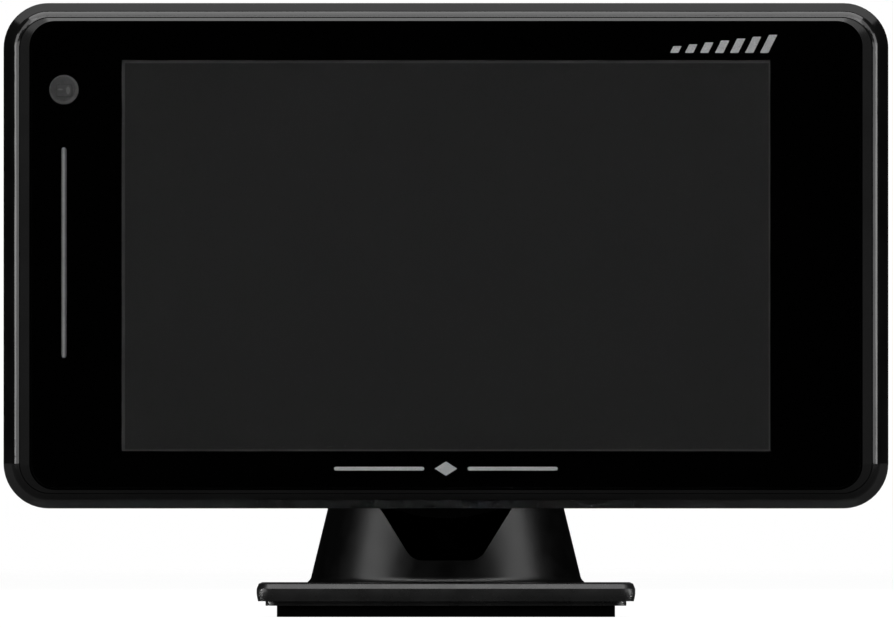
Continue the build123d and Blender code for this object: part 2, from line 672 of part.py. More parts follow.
with BuildPart() as foot_plate:
    for skirt_z, skirt_inset in FOOT_SKIRT:
        with BuildSketch(Plane.XY.offset(skirt_z)):
            with Locations((0, FOOT_MID_Y)):
                RectangleRounded(
                    FOOT_W - 2 * skirt_inset, FOOT_D - 2 * skirt_inset, FOOT_CORNER_R - skirt_inset
                )
    loft(ruled=True)
    fillet(foot_plate.faces().sort_by(Axis.Z)[-1].edges(), radius=0.2)
    for ridge_z, ridge_round in ((FOOT_BEVEL_Z, 0.15), (FOOT_WAIST_Z, 3.0)):
        ridge = foot_plate.edges().filter_by_position(Axis.Z, ridge_z - 0.01, ridge_z + 0.01)
        fillet(ridge, radius=ridge_round)
    with BuildSketch(Plane.XY.offset(PAD_T)):
        with Locations((0, FOOT_MID_Y)):
            RectangleRounded(
                FOOT_W - 2 * FOOT_TIER_INSET, FOOT_D - 2 * FOOT_TIER_INSET, FOOT_CORNER_R - 0.5
            )
    extrude(amount=FOOT_SKIRT_Z - PAD_T)
    # guide hole for the seat's pin, and countersunk holes for the cone's screws
    with BuildSketch(Plane.XY.offset(FOOT_TOP_Z)):
        Circle(GUIDE_R)
    extrude(amount=-FOOT_TOP_Z, mode=Mode.SUBTRACT)
    for post_x in (-POST_AT[0], POST_AT[0]):
        for post_y in (-POST_AT[1], POST_AT[1]):
            with Locations(Location((post_x, post_y, PAD_T), (180, 0, 0))):
                CounterSinkHole(radius=1.1, counter_sink_radius=2.2, depth=FOOT_TOP_Z)

slope_angle = atan(CONE_SLOPE)
side_distance = (CONE_R_AT_0 - CONE_SLOPE * BALL_Z) * cos(slope_angle)


def bullet_profile(shrink, base_z):
    """Half outline of the cone and its dome, shrunk by that much: the dome is centred on the ball and meets the
    side smoothly. It returns the side's foot, the point where dome and side meet, and the dome's radius."""
    dome_r = side_distance - shrink
    foot_r = (CONE_R_AT_0 - CONE_SLOPE * base_z) - shrink / cos(slope_angle)
    meet = (dome_r * cos(slope_angle), BALL_Z + dome_r * sin(slope_angle))
    return (foot_r, base_z), meet, dome_r


outer_foot, outer_meet, DOME_R = bullet_profile(0.0, FOOT_TOP_Z + 1.0)
inner_foot, inner_meet, inner_dome_r = bullet_profile(CONE_WALL, FOOT_TOP_Z)
# the side spreads into a small flare where it meets the foot plate
flare_middle = (outer_foot[0] + 0.20, FOOT_TOP_Z + 0.45)

with BuildPart() as cone_solid:
    with BuildSketch(Plane.XZ):
        with BuildLine():
            Polyline((0, FOOT_TOP_Z), (CONE_LIP_R, FOOT_TOP_Z), (CONE_LIP_R, FOOT_TOP_Z + 0.12))
            ThreePointArc((CONE_LIP_R, FOOT_TOP_Z + 0.12), flare_middle, outer_foot)
            Line(outer_foot, outer_meet)
            CenterArc((0, BALL_Z), DOME_R, degrees(slope_angle), 90 - degrees(slope_angle))
            Line((0, BALL_Z + DOME_R), (0, FOOT_TOP_Z))
        make_face()
    revolve(axis=Axis.Z)

with BuildPart() as cone_hollow:
    with BuildSketch(Plane.XZ):
        with BuildLine():
            Polyline((0, FOOT_TOP_Z), inner_foot, inner_meet)
            CenterArc((0, BALL_Z), inner_dome_r, degrees(slope_angle), 90 - degrees(slope_angle))
            Line((0, BALL_Z + inner_dome_r), (0, FOOT_TOP_Z))
        make_face()
    revolve(axis=Axis.Z)

# The opening in the cone's front: narrow at its floor, wider up to the shoulder, and rounded at its top
SLOT_FLOOR_HALF = 4.5
SLOT_HALF = 9.3
SLOT_SHOULDER_Z = 15.2
SLOT_TOP_Z = 30.8

with BuildPart() as neck_slot:
    with BuildSketch(Plane.XZ) as slot_face:
        Polygon(
            (-SLOT_FLOOR_HALF, SLOT_FLOOR_Z),
            (SLOT_FLOOR_HALF, SLOT_FLOOR_Z),
            (SLOT_HALF, SLOT_SHOULDER_Z),
            (SLOT_HALF, SLOT_TOP_Z),
            (-SLOT_HALF, SLOT_TOP_Z),
            (-SLOT_HALF, SLOT_SHOULDER_Z),
        )
        fillet(slot_face.vertices().group_by(Axis.Y)[-1], radius=5.0)
        fillet(slot_face.vertices().group_by(Axis.Y)[0], radius=2.5)
    extrude(amount=CONE_LIP_R + 1.0)

with BuildPart() as stand_cone:
    add(cone_solid.part)
    add(cone_hollow.part, mode=Mode.SUBTRACT)
    add(neck_slot.part, mode=Mode.SUBTRACT)
    with BuildSketch(Plane.XY.offset(FOOT_TOP_Z)):
        with GridLocations(2 * POST_AT[0], 2 * POST_AT[1], 2, 2):
            Circle(2.6)
    extrude(amount=POST_TOP_Z - FOOT_TOP_Z)
    add(cone_solid.part, mode=Mode.INTERSECT)
    with BuildSketch(Plane.XY.offset(FOOT_TOP_Z)):
        with GridLocations(2 * POST_AT[0], 2 * POST_AT[1], 2, 2):
            Circle(PILOT_R)
    extrude(amount=6.5, mode=Mode.SUBTRACT)

with BuildPart() as foot_screws:
    for post_x in (-POST_AT[0], POST_AT[0]):
        for post_y in (-POST_AT[1], POST_AT[1]):
            with Locations((post_x, post_y, PAD_T)):
                Cone(2.1, PILOT_R - 0.02, 1.25, align=(Align.CENTER, Align.CENTER, Align.MIN))
                Cylinder(PILOT_R - 0.02, 8.0, align=(Align.CENTER, Align.CENTER, Align.MIN))
                Box(2.4, 0.4, 0.6, align=(Align.CENTER, Align.CENTER, Align.MIN), mode=Mode.SUBTRACT)
                Box(0.4, 2.4, 0.6, align=(Align.CENTER, Align.CENTER, Align.MIN), mode=Mode.SUBTRACT)

# ---------------------------------------------------------------- ball joint

SEAT_OUTER_R = inner_dome_r - 0.1
SEAT_INNER_R = BALL_R + BALL_GAP
SEAT_LOW_Z = 17.0
CUP_R = 4.6
CUP_NECK_R = 3.4
CUP_BOTTOM_Z = 9.0
CUP_FLANGE_Z = 9.8
CUP_TOP_Z = 12.0
SPRING_R = 3.6
SPRING_WIRE_R = 0.4

with BuildPart() as upper_seat:
    with Locations((0, 0, BALL_Z)):
        Sphere(SEAT_OUTER_R)
        Sphere(SEAT_INNER_R, mode=Mode.SUBTRACT)
    split(bisect_by=Plane.XY.offset(SEAT_LOW_Z), keep=Keep.TOP)
    add(neck_slot.part, mode=Mode.SUBTRACT)

with BuildPart() as lower_seat:
    with Locations((0, 0, CUP_BOTTOM_Z)):
        Cylinder(CUP_R, CUP_FLANGE_Z - CUP_BOTTOM_Z, align=(Align.CENTER, Align.CENTER, Align.MIN))
        Cylinder(CUP_NECK_R, CUP_TOP_Z - CUP_BOTTOM_Z, align=(Align.CENTER, Align.CENTER, Align.MIN))
    with Locations((0, 0, PAD_T + 0.5)):
        Cylinder(
            GUIDE_R - 0.1,
            CUP_BOTTOM_Z - PAD_T - 0.5,
            align=(Align.CENTER, Align.CENTER, Align.MIN),
        )
    with Locations((0, 0, BALL_Z)):
        Sphere(SEAT_INNER_R, mode=Mode.SUBTRACT)

with BuildPart() as seat_spring:
    spring_low = FOOT_TOP_Z + SPRING_WIRE_R + 0.02
    spring_high = CUP_BOTTOM_Z - SPRING_WIRE_R - 0.02
    with BuildLine():
        coil = Helix(
            pitch=(spring_high - spring_low) / 3,
            height=spring_high - spring_low,
            radius=SPRING_R,
            center=(0, 0, spring_low),
        )
    with BuildSketch(Plane(origin=coil @ 0, z_dir=coil % 0)):
        Circle(SPRING_WIRE_R)
    sweep(path=coil, is_frenet=True)

SHOULDER_Y = -7.5

with BuildPart() as ball:
    with Locations((0, 0, BALL_Z)):
        Sphere(BALL_R)
    with BuildSketch(Plane.XZ.offset(-SHOULDER_Y)):
        with Locations((0, BALL_Z)):
            Circle(BALL_R)
    extrude(amount=BALL_R, mode=Mode.SUBTRACT)
    with BuildSketch(Plane.XZ.offset(-5.0)):
        with Locations((0, BALL_Z)):
            Circle(STUD_R + BALL_GAP)
    extrude(amount=20.0, mode=Mode.SUBTRACT)

KEY_SIZE = 5.6
KEY_T = 1.0
TAP_R = 1.25

with BuildPart() as ball_stem:
    with BuildSketch(Plane.XZ.offset(-SHOE_BACK_Y)):
        with Locations((0, BALL_Z)):
            Circle(NECK_R)
    extrude(amount=SHOE_BACK_Y - SHOULDER_Y + 0.1)
    with BuildSketch(Plane.XZ.offset(-4.8)):
        with Locations((0, BALL_Z)):
            Circle(STUD_R)
    extrude(amount=4.8 - SHOULDER_Y + 0.2)
    with BuildSketch(Plane.XZ.offset(-SHOE_BACK_Y)):
        with Locations((0, BALL_Z)):
            Rectangle(KEY_SIZE, KEY_SIZE)
    extrude(amount=KEY_T)
    with BuildSketch(Plane.XZ.offset(-SHOE_BACK_Y + KEY_T)):
        with Locations((0, BALL_Z)):
            Circle(TAP_R)
    extrude(amount=-9.0, mode=Mode.SUBTRACT)

SHOE_FRONT_Y = SHOE_BACK_Y - 2 * SHOE_LAYER

with BuildPart() as slide_shoe:
    for shoe_width, shoe_y in ((SHOE_NARROW, SHOE_BACK_Y), (SHOE_WIDE, SHOE_BACK_Y - SHOE_LAYER)):
        half = shoe_width / 2
        side_low = SHOE_BOTTOM_Z + SHOE_END_R - sqrt(SHOE_END_R**2 - half**2)
        with BuildSketch(Plane.XZ.offset(-shoe_y)) as layer:
            with BuildLine():
                Polyline((-half, side_low), (-half, SHOE_TOP_Z), (half, SHOE_TOP_Z), (half, side_low))
                ThreePointArc((half, side_low), (0, SHOE_BOTTOM_Z), (-half, side_low))
            make_face()
            fillet(layer.vertices().group_by(Axis.Y)[-1], radius=1.2)
            fillet(layer.vertices().group_by(Axis.Y)[0], radius=2.0)
        extrude(amount=SHOE_LAYER)
    with BuildSketch(Plane.XZ.offset(-SHOE_BACK_Y)):
        with Locations((0, BALL_Z)):
            Rectangle(KEY_SIZE + 0.1, KEY_SIZE + 0.1)
    extrude(amount=KEY_T, mode=Mode.SUBTRACT)
    with BuildSketch(Plane.XZ.offset(-SHOE_BACK_Y)):
        with Locations((0, BALL_Z)):
            Circle(1.6)
    extrude(amount=2 * SHOE_LAYER, mode=Mode.SUBTRACT)
    with BuildSketch(Plane.XZ.offset(-SHOE_FRONT_Y)):
        with Locations((0, BALL_Z)):
            Circle(3.0)
    extrude(amount=-1.5, mode=Mode.SUBTRACT)

with BuildPart() as stem_screw:
    with BuildSketch(Plane.XZ.offset(-SHOE_FRONT_Y - 1.5)):
        with Locations((0, BALL_Z)):
            Circle(TAP_R - 0.02)
    extrude(amount=-7.5)
    with BuildSketch(Plane.XZ.offset(-SHOE_FRONT_Y - 1.5)):
        with Locations((0, BALL_Z)):
            Circle(2.7)
    extrude(amount=1.3)
    with BuildSketch(Plane.XZ.offset(-SHOE_FRONT_Y - 0.2)):
        with Locations((0, BALL_Z)):
            Rectangle(3.0, 0.5)
            Rectangle(0.5, 3.0)
    extrude(amount=-0.8, mode=Mode.SUBTRACT)

# ---------------------------------------------------------------- write one file for each piece

PIECES = {
    "adhesive_pad": adhesive_pad,
    "foot_plate": foot_plate,
    "stand_cone": stand_cone,
    "foot_screws": foot_screws,
    "upper_seat": upper_seat,
    "seat_spring": seat_spring,
    "lower_seat": lower_seat,
    "ball": ball,
    "ball_stem": ball_stem,
    "slide_shoe": slide_shoe,
    "stem_screw": stem_screw,
    "front_bezel": front_bezel,
    "cover_lens": cover_lens,
    "border_print": border_print,
    "silver_marks": silver_marks,
    "lens_tape": lens_tape,
    "lcd_panel": lcd_panel,
    "backlight": backlight,
    "lcd_tray": lcd_tray,
    "lcd_ribbon": lcd_ribbon,
    "sensor_window": sensor_window,
    "light_bar": light_bar,
    "status_leds": status_leds,
    "light_sensor": light_sensor,
    "sensor_board": sensor_board,
    "main_board": main_board,
    "shield_can": shield_can,
    "board_chips": board_chips,
    "ribbon_socket": ribbon_socket,
    "backup_capacitor": backup_capacitor,
    "card_socket": card_socket,
    "memory_card": memory_card,
    "power_jack": power_jack,
    "power_switch": power_switch,
    "switch_knob": switch_knob,
    "radar_horn": radar_horn,
    "radar_board": radar_board,
    "gps_antenna": gps_antenna,
    "gps_ground_can": gps_ground_can,
    "laser_holder": laser_holder,
    "laser_lens": laser_lens,
    "laser_sensor": laser_sensor,
    "laser_window": laser_window,
    "speaker": speaker,
    "speaker_cone": speaker_cone,
    "speaker_gasket": speaker_gasket,
    "rear_cover": rear_cover,
    "label_plate": label_plate,
    "corner_screws": corner_screws,
    "board_screws": board_screws,
}

for piece_name, piece in PIECES.items():
    piece.part.label = piece_name
    export_step(piece.part, f"parts/{piece_name}.step")
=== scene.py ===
"""Looks for the dash-mounted radar detector: materials, fine pieces, floor, lights and camera."""

import json
import math

import bmesh
import bpy
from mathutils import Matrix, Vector


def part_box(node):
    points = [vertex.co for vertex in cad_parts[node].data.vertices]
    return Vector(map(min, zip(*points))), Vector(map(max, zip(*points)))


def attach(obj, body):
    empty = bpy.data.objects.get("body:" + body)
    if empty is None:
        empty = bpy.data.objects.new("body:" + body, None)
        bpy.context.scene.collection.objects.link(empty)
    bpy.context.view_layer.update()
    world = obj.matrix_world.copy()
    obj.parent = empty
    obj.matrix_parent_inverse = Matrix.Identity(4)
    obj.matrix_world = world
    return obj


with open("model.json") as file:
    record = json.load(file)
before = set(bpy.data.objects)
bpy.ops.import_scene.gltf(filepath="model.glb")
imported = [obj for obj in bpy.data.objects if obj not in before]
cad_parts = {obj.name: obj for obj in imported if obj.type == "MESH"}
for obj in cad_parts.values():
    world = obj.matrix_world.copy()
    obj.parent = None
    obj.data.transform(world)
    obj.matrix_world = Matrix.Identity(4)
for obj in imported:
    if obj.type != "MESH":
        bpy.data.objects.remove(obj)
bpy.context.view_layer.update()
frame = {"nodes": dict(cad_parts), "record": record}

scene = bpy.context.scene
MM = 0.001

# Most of a noise texture's values lie between these two, so they stand for its darkest and lightest parts
NOISE_LOW, NOISE_HIGH = 0.3, 0.7
# The same for colours, a little closer together, which makes the shades meet more sharply
COLOUR_LOW, COLOUR_HIGH = 0.35, 0.65

# ---------------------------------------------------------------- material building blocks


class Finish:
    """One procedural material built on a Principled shader. Its patterns are laid out in metres."""

    def __init__(self, name, **constants):
        self.material = bpy.data.materials.new(name)
        self.material.use_nodes = True
        self.nodes = self.material.node_tree.nodes
        self.links = self.material.node_tree.links
        self.shader = self.nodes["Principled BSDF"]
        for socket, value in constants.items():
            self.shader.inputs[socket.replace("_", " ")].default_value = value
        self.position = self.nodes.new("ShaderNodeTexCoord").outputs["Object"]

    def stretched(self, factors):
        """The object's coordinates, scaled along each axis: a large factor makes fine lines across it."""
        mapping = self.nodes.new("ShaderNodeMapping")
        mapping.inputs["Scale"].default_value = factors
        self.links.new(self.position, mapping.inputs["Vector"])
        return mapping.outputs["Vector"]

    def noise(self, size, detail=3.0, vector=None):
        """Soft noise whose lumps are about that many metres across."""
        texture = self.nodes.new("ShaderNodeTexNoise")
        texture.inputs["Scale"].default_value = 1.0 / size
        texture.inputs["Detail"].default_value = detail
        self.links.new(vector or self.position, texture.inputs["Vector"])
        return texture.outputs["Fac"]

    def grains(self, size):
        """Rounded grains of that size, as the distance from each grain's middle."""
        texture = self.nodes.new("ShaderNodeTexVoronoi")
        texture.inputs["Scale"].default_value = 1.0 / size
        self.links.new(self.position, texture.inputs["Vector"])
        return texture.outputs["Distance"]

    def spread(self, source, low, high):
        """Maps the middle of a noise's range onto low to high."""
        ramp = self.nodes.new("ShaderNodeMapRange")
        ramp.inputs["From Min"].default_value = NOISE_LOW
        ramp.inputs["From Max"].default_value = NOISE_HIGH
        ramp.inputs["To Min"].default_value = low
        ramp.inputs["To Max"].default_value = high
        self.links.new(source, ramp.inputs["Value"])
        return ramp.outputs["Result"]

    def colour(self, source, dark, light):
        """Colour between two shades, by a pattern."""
        ramp = self.nodes.new("ShaderNodeValToRGB")
        first, last = ramp.color_ramp.elements
        first.position = COLOUR_LOW
        first.color = (*dark, 1.0)
        last.position = COLOUR_HIGH
        last.color = (*light, 1.0)
        self.links.new(source, ramp.inputs["Fac"])
        self.links.new(ramp.outputs["Color"], self.shader.inputs["Base Color"])
        return self

    def roughness(self, source, low, high):
        """Roughness that wanders between two values, by a pattern."""
        self.links.new(self.spread(source, low, high), self.shader.inputs["Roughness"])
        return self

    def bump(self, source, height):
        """Relief of that height in metres. A second call lies on top of the first."""
        node = self.nodes.new("ShaderNodeBump")
        node.inputs["Distance"].default_value = height
        self.links.new(source, node.inputs["Height"])
        normal = self.shader.inputs["Normal"]
        if normal.is_linked:
            self.links.new(normal.links[0].from_socket, node.inputs["Normal"])
        self.links.new(node.outputs["Normal"], normal)
        return self


def shade(grey, warmth=0.0):
    """A neutral linear colour, a little warm or cool."""
    return (grey * (1 + warmth), grey, grey * (1 - warmth))


def moulded(name, grey, rough, grain=0.25 * MM, depth=0.004 * MM, warmth=0.0, **constants):
    """Moulded plastic: a fine grain, a slightly uneven sheen and a faint shift of shade."""
    finish = Finish(name, **constants)
    finish.colour(finish.noise(6 * MM), shade(grey * 0.85, warmth), shade(grey * 1.15, warmth))
    finish.roughness(finish.noise(3 * MM, 5), rough - 0.05, rough + 0.05)
    finish.bump(finish.noise(grain, 2), depth)
    return finish.material


def metal(name, tint, rough, lines=(1, 1, 1), size=0.4 * MM, depth=0.002 * MM):
    """Bare or plated metal with fine drawn lines, which run along the axes whose factor is small."""
    finish = Finish(name, Metallic=1.0)
    finish.colour(finish.noise(2 * MM), [c * 0.85 for c in tint], tint)
    grain = finish.noise(size, 4, finish.stretched(lines))
    finish.roughness(grain, rough - 0.08, rough + 0.08)
    finish.bump(grain, depth)
    return finish.material


# ---------------------------------------------------------------- finishes


def piano_black():
    """The front bezel: glossy black, with the slightest waviness."""
    finish = Finish("bezel_gloss", IOR=1.5)
    finish.colour(finish.noise(8 * MM), shade(0.0030), shade(0.0045))
    finish.roughness(finish.noise(4 * MM, 6), 0.10, 0.16)
    finish.bump(finish.noise(1.6 * MM, 2), 0.0012 * MM)
    return finish.material


def satin_black(name, grey, rough, grain_h):
    """The stand: dark plastic with an eggshell sheen, from a finely eroded mould."""
    finish = Finish(name, Specular_IOR_Level=0.5)
    finish.colour(finish.noise(5 * MM, 4), shade(grey * 0.8), shade(grey * 1.2))
    finish.roughness(finish.noise(2.5 * MM, 5), rough - 0.04, rough + 0.04)
    finish.bump(finish.grains(0.16 * MM), grain_h)
    return finish.material


def grained_black():
    """The rear cover: a coarser moulded grain, duller than the stand."""
    finish = Finish("cover_grain")
    finish.colour(finish.noise(7 * MM, 4), shade(0.016), shade(0.023))
    finish.roughness(finish.noise(3 * MM, 5), 0.44, 0.54)
    finish.bump(finish.grains(0.38 * MM), 0.010 * MM)
    finish.bump(finish.noise(0.12 * MM, 2), 0.002 * MM)
    return finish.material


def clear_pane():
    """Polished clear plastic with the faintest unevenness."""
    finish = Finish("clear_pane", Transmission_Weight=1.0, IOR=1.5)
    finish.colour(finish.noise(12 * MM), (0.985, 0.988, 0.99), (0.995, 0.996, 0.997))
    finish.roughness(finish.noise(9 * MM, 6), 0.0, 0.03)
    finish.bump(finish.noise(14 * MM, 1), 0.0005 * MM)
    return finish.material


def black_print():
    """Matt black ink behind the lens."""
    finish = Finish("black_print", Specular_IOR_Level=0.0)
    finish.colour(finish.noise(1.5 * MM), shade(0.0001), shade(0.0003))
    finish.roughness(finish.noise(0.8 * MM), 0.55, 0.7)
    finish.bump(finish.noise(0.1 * MM), 0.001 * MM)
    return finish.material


def silver_print():
    """Silver ink: fine metal flakes in a clear binder."""
    finish = Finish("silver_print", Metallic=0.35, Specular_IOR_Level=0.5)
    flakes = finish.grains(0.06 * MM)
    finish.colour(flakes, shade(0.62, -0.01), shade(0.86, -0.01))
    finish.roughness(finish.noise(0.3 * MM), 0.35, 0.5)
    finish.bump(flakes, 0.002 * MM)
    return finish.material


def screen_off():
    """The display when off: a flat dark grey film with a very fine anti-glare tooth."""
    finish = Finish("screen_off", Specular_IOR_Level=0.15)
    finish.colour(finish.noise(0.5 * MM, 2), shade(0.0228), shade(0.0244))
    finish.roughness(finish.noise(0.4 * MM), 0.5, 0.6)
    finish.bump(finish.noise(0.09 * MM, 1), 0.0008 * MM)
    return finish.material


def frosted_diffuser(name, grey, transmission):
    """Frosted plastic of one grey, which may let light through."""
    finish = Finish(name, Transmission_Weight=transmission, IOR=1.49)
    finish.colour(finish.noise(0.6 * MM), shade(grey * 0.9), shade(grey * 1.1))
    finish.roughness(finish.noise(0.2 * MM), 0.45, 0.6)
    finish.bump(finish.noise(0.05 * MM), 0.001 * MM)
    return finish.material


# The light bar's painted highlight and painted shade across its width, as (place from left to right, grey)
LIGHT_BAR_W = 0.75 * MM
LIGHT_BAR_PAINTED_SHADING = ((0.30, 0.36), (0.48, 0.50), (0.66, 0.28), (0.80, 0.14))
LIGHT_BAR_LEFT, LIGHT_BAR_RIGHT = 0.04, 0.09


def light_guide():
    """A frosted light guide, with a painted highlight on its left part and painted shade on its right part.
    """
    finish = Finish("light_guide", Specular_IOR_Level=0.2)
    across = finish.nodes.new("ShaderNodeSeparateXYZ")
    finish.links.new(finish.position, across.inputs["Vector"])
    low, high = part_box("light_bar")
    half = LIGHT_BAR_W / 2
    middle = (low.x + high.x) / 2
    place = finish.nodes.new("ShaderNodeMapRange")
    place.inputs["From Min"].default_value = middle - half
    place.inputs["From Max"].default_value = middle + half
    finish.links.new(across.outputs["X"], place.inputs["Value"])
    # this ramp paints a highlight on the bar's left part and shade on its right part
    shades = finish.nodes.new("ShaderNodeValToRGB")
    stops = shades.color_ramp.elements
    stops[0].color = (*shade(LIGHT_BAR_LEFT, -0.01), 1.0)
    stops[1].color = (*shade(LIGHT_BAR_RIGHT, -0.01), 1.0)
    for where, grey in LIGHT_BAR_PAINTED_SHADING:
        stops.new(where).color = (*shade(grey, -0.01), 1.0)
    finish.links.new(place.outputs["Result"], shades.inputs["Fac"])
    finish.links.new(shades.outputs["Color"], finish.shader.inputs["Base Color"])
    finish.roughness(finish.noise(0.2 * MM), 0.45, 0.6)
    finish.bump(finish.noise(0.08 * MM), 0.002 * MM)
    return finish.material


def circuit_board():
    """Green solder mask, with a faint pattern of the copper under it."""
    finish = Finish("circuit_board", Coat_Weight=0.4, Coat_Roughness=0.2)
    traces = finish.nodes.new("ShaderNodeTexBrick")
    traces.inputs["Scale"].default_value = 1.0 / (4.2 * MM)
    traces.inputs["Mortar Size"].default_value = 0.035
    traces.inputs["Color1"].default_value = (0.006, 0.070, 0.030, 1)
    traces.inputs["Color2"].default_value = (0.008, 0.085, 0.036, 1)
    traces.inputs["Mortar"].default_value = (0.016, 0.150, 0.062, 1)
    turned = finish.nodes.new("ShaderNodeMapping")
    turned.inputs["Rotation"].default_value = (math.radians(90), 0, 0)
    finish.links.new(finish.position, turned.inputs["Vector"])
    finish.links.new(turned.outputs["Vector"], traces.inputs["Vector"])
    finish.links.new(traces.outputs["Color"], finish.shader.inputs["Base Color"])
    finish.roughness(finish.noise(2 * MM), 0.35, 0.5)
    finish.bump(traces.outputs["Fac"], 0.01 * MM)
    return finish.material


def foam():
    """Closed-cell foam: dull, soft and pitted."""
    finish = Finish("foam_black", Specular_IOR_Level=0.05, Sheen_Weight=0.03)
    cells = finish.grains(0.22 * MM)
    finish.colour(cells, shade(0.0006), shade(0.0016))
    finish.roughness(finish.noise(1 * MM), 0.82, 0.95)
    finish.bump(cells, 0.03 * MM)
    return finish.material


def paper_cone():
    """The speaker's pressed paper cone: dull and fibrous."""
    finish = Finish("paper_cone", Sheen_Weight=0.2)
    finish.colour(finish.noise(0.5 * MM, 6), shade(0.02), shade(0.045))
    finish.roughness(finish.noise(0.3 * MM), 0.75, 0.9)
    finish.bump(finish.noise(0.2 * MM, 6), 0.03 * MM)
    return finish.material


def fired_ceramic():
    """The satellite antenna's cream ceramic."""
    finish = Finish("fired_ceramic")
    finish.colour(finish.noise(0.6 * MM, 5), (0.62, 0.56, 0.45), (0.72, 0.67, 0.56))
    finish.roughness(finish.noise(0.5 * MM), 0.55, 0.7)
    finish.bump(finish.noise(0.15 * MM, 4), 0.006 * MM)
    return finish.material


def infrared_window():
    """Very dark red plastic that looks black until light passes through it."""
    finish = Finish("infrared_window", Coat_Weight=0.6, Coat_Roughness=0.04)
    finish.colour(finish.noise(5 * MM), (0.010, 0.0012, 0.0020), (0.016, 0.0020, 0.0030))
    finish.roughness(finish.noise(4 * MM, 4), 0.08, 0.14)
    finish.bump(finish.noise(3 * MM, 1), 0.001 * MM)
    return finish.material


FINISHES = {
    "bezel_gloss": piano_black(),
    "stand_plastic": satin_black("stand_satin", 0.012, 0.28, 0.0003 * MM),
    "cover_plastic": grained_black(),
    "lens_clear": clear_pane(),
    "black_ink": black_print(),
    "silver_ink": silver_print(),
    "lcd_glass": screen_off(),
    "light_pipe": light_guide(),
    "smoked_window": frosted_diffuser("smoked_window", 0.072, 0.0),
    "led_resin": frosted_diffuser("led_resin", 0.62, 0.3),
    "backlight_white": moulded("backlight_white", 0.80, 0.45),
    "circuit_board": circuit_board(),
    "foam_tape": foam(),
    "speaker_paper": paper_cone(),
    "antenna_ceramic": fired_ceramic(),
    "infrared_window": infrared_window(),
    "bearing_plastic": moulded("bearing_plastic", 0.006, 0.36),
    "ball_plastic": moulded("ball_plastic", 0.005, 0.22, depth=0.001 * MM),
    "chip_epoxy": moulded("chip_epoxy", 0.016, 0.55, grain=0.08 * MM),
    "socket_cream": moulded("socket_cream", 0.62, 0.45, warmth=0.12),
    "capacitor_sleeve": moulded("capacitor_sleeve", 0.02, 0.3, warmth=-0.5),
    "card_plastic": moulded("card_plastic", 0.012, 0.42, grain=0.1 * MM),
    "socket_black": moulded("socket_black", 0.012, 0.45),
    "knob_plastic": moulded("knob_plastic", 0.10, 0.4),
    "flex_film": moulded("flex_film", 0.20, 0.3, warmth=0.75),
    "label_film": moulded("label_film", 0.42, 0.38, grain=0.1 * MM, depth=0.001 * MM),
    "screw_steel": metal("screw_steel", shade(0.60), 0.32),
    "screw_black": metal("screw_black", shade(0.05), 0.35),
    "spring_steel": metal("spring_steel", shade(0.52), 0.25, lines=(1, 1, 6)),
    "sheet_steel": metal("sheet_steel", shade(0.62, 0.01), 0.33, lines=(0.3, 4, 4)),
    "cast_horn": metal("cast_horn", shade(0.50), 0.46, size=0.25 * MM, depth=0.012 * MM),
    "speaker_frame": moulded("speaker_frame", 0.015, 0.35),
}

# Nodes whose finish differs from the rest of their slot: darker copies, as painted shade. The cone hangs in
# the head's shade, and all but the cone sit in its dark opening.
PAINTED_SHADE_FINISH = {
    # the cone's satin is far darker than the foot plate's, as painted shade from the head
    "stand_cone": satin_black("cone_satin_painted_shade", 0.0008, 0.32, 0.0002 * MM),
    "slide_shoe": moulded("shoe_painted_shade", 0.0012, 0.55, Specular_IOR_Level=0.15),
    "lower_seat": moulded("cup_painted_shade", 0.0012, 0.50, Specular_IOR_Level=0.15),
    "seat_spring": metal("spring_painted_shade", shade(0.012), 0.45),
}

for entry in frame["record"]["subparts"]:
    name = entry["node"]
    node = frame["nodes"][name]
    node.data.materials.clear()
    node.data.materials.append(PAINTED_SHADE_FINISH.get(name, FINISHES[entry["material_slot"]]))

# ---------------------------------------------------------------- fine pieces


def ride_with(name, mesh_data, body, material):
    """Puts a new piece into the scene, on a body of the frame, with its finish."""
    mesh = bpy.data.meshes.new(name)
    mesh_data.to_mesh(mesh)
    mesh_data.free()
    mesh.materials.append(material)
    piece = bpy.data.objects.new(name, mesh)
    scene.collection.objects.link(piece)
    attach(piece, body)
    return piece


def oval(x, z, half_w, half_h, count=48):
    """Outline of an ellipse in the plane of the screen."""
    turns = [2 * math.pi * index / count for index in range(count)]
    return [(x + half_w * math.cos(turn), z + half_h * math.sin(turn)) for turn in turns]


def oblong(x, z, width, height, corner, steps=8):
    """Outline of a rectangle with rounded corners in the plane of the screen."""
    points = []
    for quarter, (sign_x, sign_z) in enumerate(((1, 1), (-1, 1), (-1, -1), (1, -1))):
        centre_x = x + sign_x * (width / 2 - corner)
        centre_z = z + sign_z * (height / 2 - corner)
        for step in range(steps + 1):
            turn = math.radians(90 * (quarter + step / steps))
            points.append((centre_x + corner * math.cos(turn), centre_z + corner * math.sin(turn)))
    return points


def add_plate(mesh_data, outline, near_y, far_y, hole=None):
    """A thin plate between two depths. A hole has as many points as the outline."""
    rings = []
    for y in (near_y, far_y):
        rings.append([mesh_data.verts.new((x, y, z)) for x, z in outline])
        if hole:
            rings.append([mesh_data.verts.new((x, y, z)) for x, z in hole])
    count = len(outline)
    if not hole:
        mesh_data.faces.new(rings[0])
        mesh_data.faces.new(reversed(rings[1]))
    walls = ((0, 1), (1, 3), (3, 2), (2, 0)) if hole else ((0, 1),)
    for first, second in walls:
        for index in range(count):
            after = (index + 1) % count
            mesh_data.faces.new(
                (rings[first][index], rings[first][after], rings[second][after], rings[second][index])
            )
    bmesh.ops.recalc_face_normals(mesh_data, faces=mesh_data.faces)


def middle_of(node_name):
    """The middle of a node's box."""
    low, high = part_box(node_name)
    return (low + high) / 2


